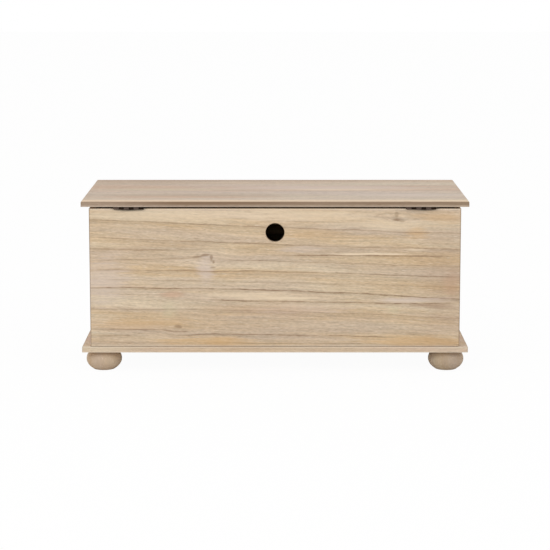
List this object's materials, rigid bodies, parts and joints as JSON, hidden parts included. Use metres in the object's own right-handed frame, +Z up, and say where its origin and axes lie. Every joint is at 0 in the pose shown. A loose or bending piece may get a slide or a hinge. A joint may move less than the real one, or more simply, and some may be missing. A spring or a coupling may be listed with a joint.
{
  "type": "storage chest",
  "caption": "Flat-lidded wooden storage chest on turned bun feet, with butt hinges, slotted lid stays and a round hole in its back.",
  "frame": {"origin": "on the floor, under the middle of the lid", "axes": "+X along the chest, to the right as seen from the hinged back; +Y from the hinged back to the front; +Z up"},
  "size_m": [1, 0.45, 0.4488],
  "materials": {
    "washed_wood": "pale washed wood, open grain, matt",
    "bronzed_steel": "dark antique bronze, satin",
    "zinc_steel": "bright zinc plate, satin",
    "black_rubber": "matt black"
  },
  "bodies": {
    "carcass": {"base_board": "washed_wood", "back_panel": "washed_wood", "front_panel": "washed_wood", "side_panel_left": "washed_wood", "side_panel_right": "washed_wood", "corner_block_back_left": "washed_wood", "corner_block_back_right": "washed_wood", "corner_block_front_left": "washed_wood", "corner_block_front_right": "washed_wood", "foot_back_left": "washed_wood", "foot_back_right": "washed_wood", "foot_front_left": "washed_wood", "foot_front_right": "washed_wood", "foot_bolt_back_left": "zinc_steel", "foot_bolt_back_right": "zinc_steel", "foot_bolt_front_left": "zinc_steel", "foot_bolt_front_right": "zinc_steel", "tee_nut_back_left": "zinc_steel", "tee_nut_back_right": "zinc_steel", "tee_nut_front_left": "zinc_steel", "tee_nut_front_right": "zinc_steel", "hinge_body_leaf_left": "bronzed_steel", "hinge_body_leaf_right": "bronzed_steel", "hinge_pin_left": "bronzed_steel", "hinge_pin_right": "bronzed_steel", "hinge_body_screw_left_1": "bronzed_steel", "hinge_body_screw_left_2": "bronzed_steel", "hinge_body_screw_left_3": "bronzed_steel", "hinge_body_screw_right_1": "bronzed_steel", "hinge_body_screw_right_2": "bronzed_steel", "hinge_body_screw_right_3": "bronzed_steel", "stay_plate_left": "zinc_steel", "stay_plate_right": "zinc_steel", "stay_plate_screw_left_upper": "zinc_steel", "stay_plate_screw_left_lower": "zinc_steel", "stay_plate_screw_right_upper": "zinc_steel", "stay_plate_screw_right_lower": "zinc_steel", "lid_bumper_left": "black_rubber", "lid_bumper_right": "black_rubber"},
    "lid": {"lid_board": "washed_wood", "lid_cleat_left": "washed_wood", "lid_cleat_right": "washed_wood", "hinge_lid_leaf_left": "bronzed_steel", "hinge_lid_leaf_right": "bronzed_steel", "hinge_lid_screw_left_1": "bronzed_steel", "hinge_lid_screw_left_2": "bronzed_steel", "hinge_lid_screw_left_3": "bronzed_steel", "hinge_lid_screw_right_1": "bronzed_steel", "hinge_lid_screw_right_2": "bronzed_steel", "hinge_lid_screw_right_3": "bronzed_steel", "stay_bracket_left": "zinc_steel", "stay_bracket_right": "zinc_steel", "stay_bracket_screw_left_back": "zinc_steel", "stay_bracket_screw_left_front": "zinc_steel", "stay_bracket_screw_right_back": "zinc_steel", "stay_bracket_screw_right_front": "zinc_steel", "stay_rivet_left": "zinc_steel", "stay_rivet_right": "zinc_steel"},
    "stay_left": {"stay_arm_left": "zinc_steel"},
    "stay_right": {"stay_arm_right": "zinc_steel"}
  },
  "joints": [
    {"name": "lid_hinge", "type": "hinge", "parent": "carcass", "child": "lid", "pos_m": [0, -0.2208, 0.43], "axis": [1, 0, 0], "range_deg": [0, 95]},
    {"name": "stay_left_pivot", "type": "hinge", "parent": "lid", "child": "stay_left", "pos_m": [-0.4571, -0.07137, 0.41693], "axis": [1, 0, 0], "range_deg": [-47.5, 0]},
    {"name": "stay_right_pivot", "type": "hinge", "parent": "lid", "child": "stay_right", "pos_m": [0.4571, -0.07137, 0.41693], "axis": [1, 0, 0], "range_deg": [-47.5, 0]}
  ],
  "couplings": [
    {"joint": "stay_left_pivot", "follows": "lid_hinge", "ratio": -0.5},
    {"joint": "stay_right_pivot", "follows": "lid_hinge", "ratio": -0.5}
  ]
}
